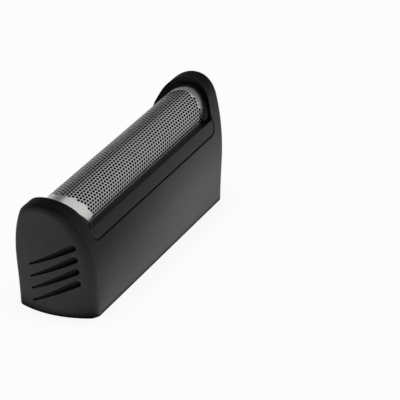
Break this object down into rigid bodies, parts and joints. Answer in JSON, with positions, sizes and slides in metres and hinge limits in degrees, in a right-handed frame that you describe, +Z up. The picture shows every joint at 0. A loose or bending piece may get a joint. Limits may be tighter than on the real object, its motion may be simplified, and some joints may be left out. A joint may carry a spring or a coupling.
{
  "type": "shaver foil head",
  "caption": "Long arched shaver head: a black housing open below, with flared round ends and grip notches, and a curved perforated metal foil held in an inner carrier.",
  "frame": {"origin": "middle of the open bottom, on the plane of the housing's lower rim", "axes": "+X along the head, +Y across it, +Z up towards the foil"},
  "size_m": [0.0596, 0.0142, 0.0211],
  "materials": {
    "housing": "black plastic with a fine spark-eroded texture",
    "carrier": "black plastic, smooth",
    "foil": "bright electroformed nickel sheet with small holes"
  },
  "bodies": {
    "root": {"housing": "housing", "carrier": "carrier", "foil": "foil"}
  },
  "joints": []
}
